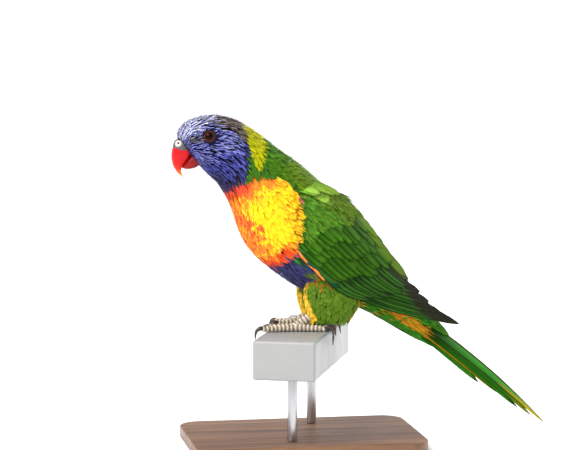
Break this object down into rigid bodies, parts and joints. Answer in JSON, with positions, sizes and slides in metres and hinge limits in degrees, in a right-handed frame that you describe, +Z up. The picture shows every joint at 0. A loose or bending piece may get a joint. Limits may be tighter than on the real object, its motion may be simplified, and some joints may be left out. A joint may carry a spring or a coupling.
{
  "type": "rainbow lorikeet model",
  "caption": "Still life-size rainbow lorikeet leaning forward with folded wings, gripping a short cut length of flat handrail on a plain display stand.",
  "frame": {"origin": "centre of the stand base's underside, on the floor", "axes": "+X from the bill towards the tail, +Y from the bird's left to its right, +Z up"},
  "size_m": [0.2477, 0.1252, 0.214],
  "materials": {
    "head_blue": "violet-blue shafts over dark feather bases",
    "nape_green": "yellow-green collar above green neck feathers",
    "breast_yellow": "yellow and orange-red feathers",
    "belly_green": "green, with a blue-violet belly patch",
    "wing_green": "satin green vanes with darker edges",
    "tail_green": "satin green vanes with yellow inner webs",
    "bill_red": "polished red horn, orange at the tip",
    "cere_grey": "bare pale skin",
    "eye_dark": "wet red-brown iris round a black pupil",
    "foot_grey": "scaly grey-beige skin",
    "claw_brown": "dark polished horn",
    "rail_paint": "worn blue-grey paint",
    "rod_steel": "satin",
    "base_wood": "dark stained and waxed"
  },
  "bodies": {
    "root": {"head": "head_blue", "cere": "cere_grey", "bill_upper": "bill_red", "bill_lower": "bill_red", "eye_left": "eye_dark", "eye_right": "eye_dark", "neck": "nape_green", "torso": "breast_yellow", "rump": "belly_green", "wing_left": "wing_green", "wing_right": "wing_green", "tail": "tail_green", "thigh_left": "belly_green", "thigh_right": "belly_green", "foot_left": "foot_grey", "foot_right": "foot_grey", "claw_left_outer_front": "claw_brown", "claw_left_inner_front": "claw_brown", "claw_left_outer_rear": "claw_brown", "claw_left_inner_rear": "claw_brown", "claw_right_outer_front": "claw_brown", "claw_right_inner_front": "claw_brown", "claw_right_outer_rear": "claw_brown", "claw_right_inner_rear": "claw_brown", "stand_perch": "rail_paint", "stand_rod_near": "rod_steel", "stand_rod_far": "rod_steel", "stand_base": "base_wood"}
  },
  "joints": []
}
